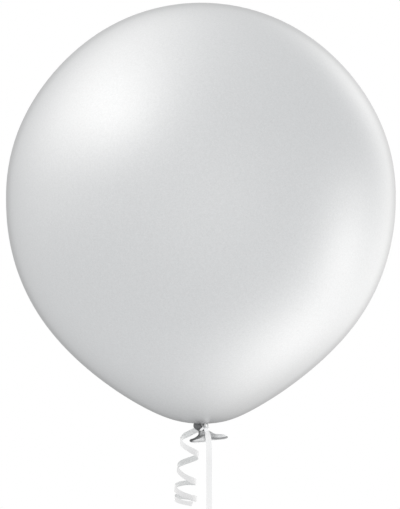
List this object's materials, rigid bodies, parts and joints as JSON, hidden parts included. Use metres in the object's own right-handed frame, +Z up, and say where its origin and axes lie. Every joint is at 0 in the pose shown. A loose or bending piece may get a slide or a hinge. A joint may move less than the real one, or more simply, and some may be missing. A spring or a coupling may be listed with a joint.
{
  "type": "party balloon",
  "caption": "Round metallic silver latex balloon, knotted at the neck, with a straight and a curled tail of white ribbon.",
  "frame": {"origin": "on the balloon's axis, level with its widest ring, where the air's lift acts", "axes": "+Z up from the knotted neck to the crown, +X to the viewer's right, -Y towards the viewer"},
  "size_m": [0.6, 0.6, 0.8577],
  "materials": {
    "silver_film": "pearl metallic, gloss",
    "gathered_latex": "unstretched, satin",
    "ribbon": "translucent white, fine lengthwise ribs"
  },
  "bodies": {
    "root": {"envelope": "silver_film", "neck_knot": "gathered_latex", "neck_tail": "gathered_latex", "mouth_bead": "gathered_latex", "ribbon_wrap": "ribbon", "ribbon_knot": "ribbon", "ribbon_loop": "ribbon", "ribbon_tail_straight": "ribbon", "ribbon_end_knot": "ribbon", "ribbon_end_loop": "ribbon", "ribbon_curl_lead": "ribbon", "ribbon_curl": "ribbon"}
  },
  "joints": []
}
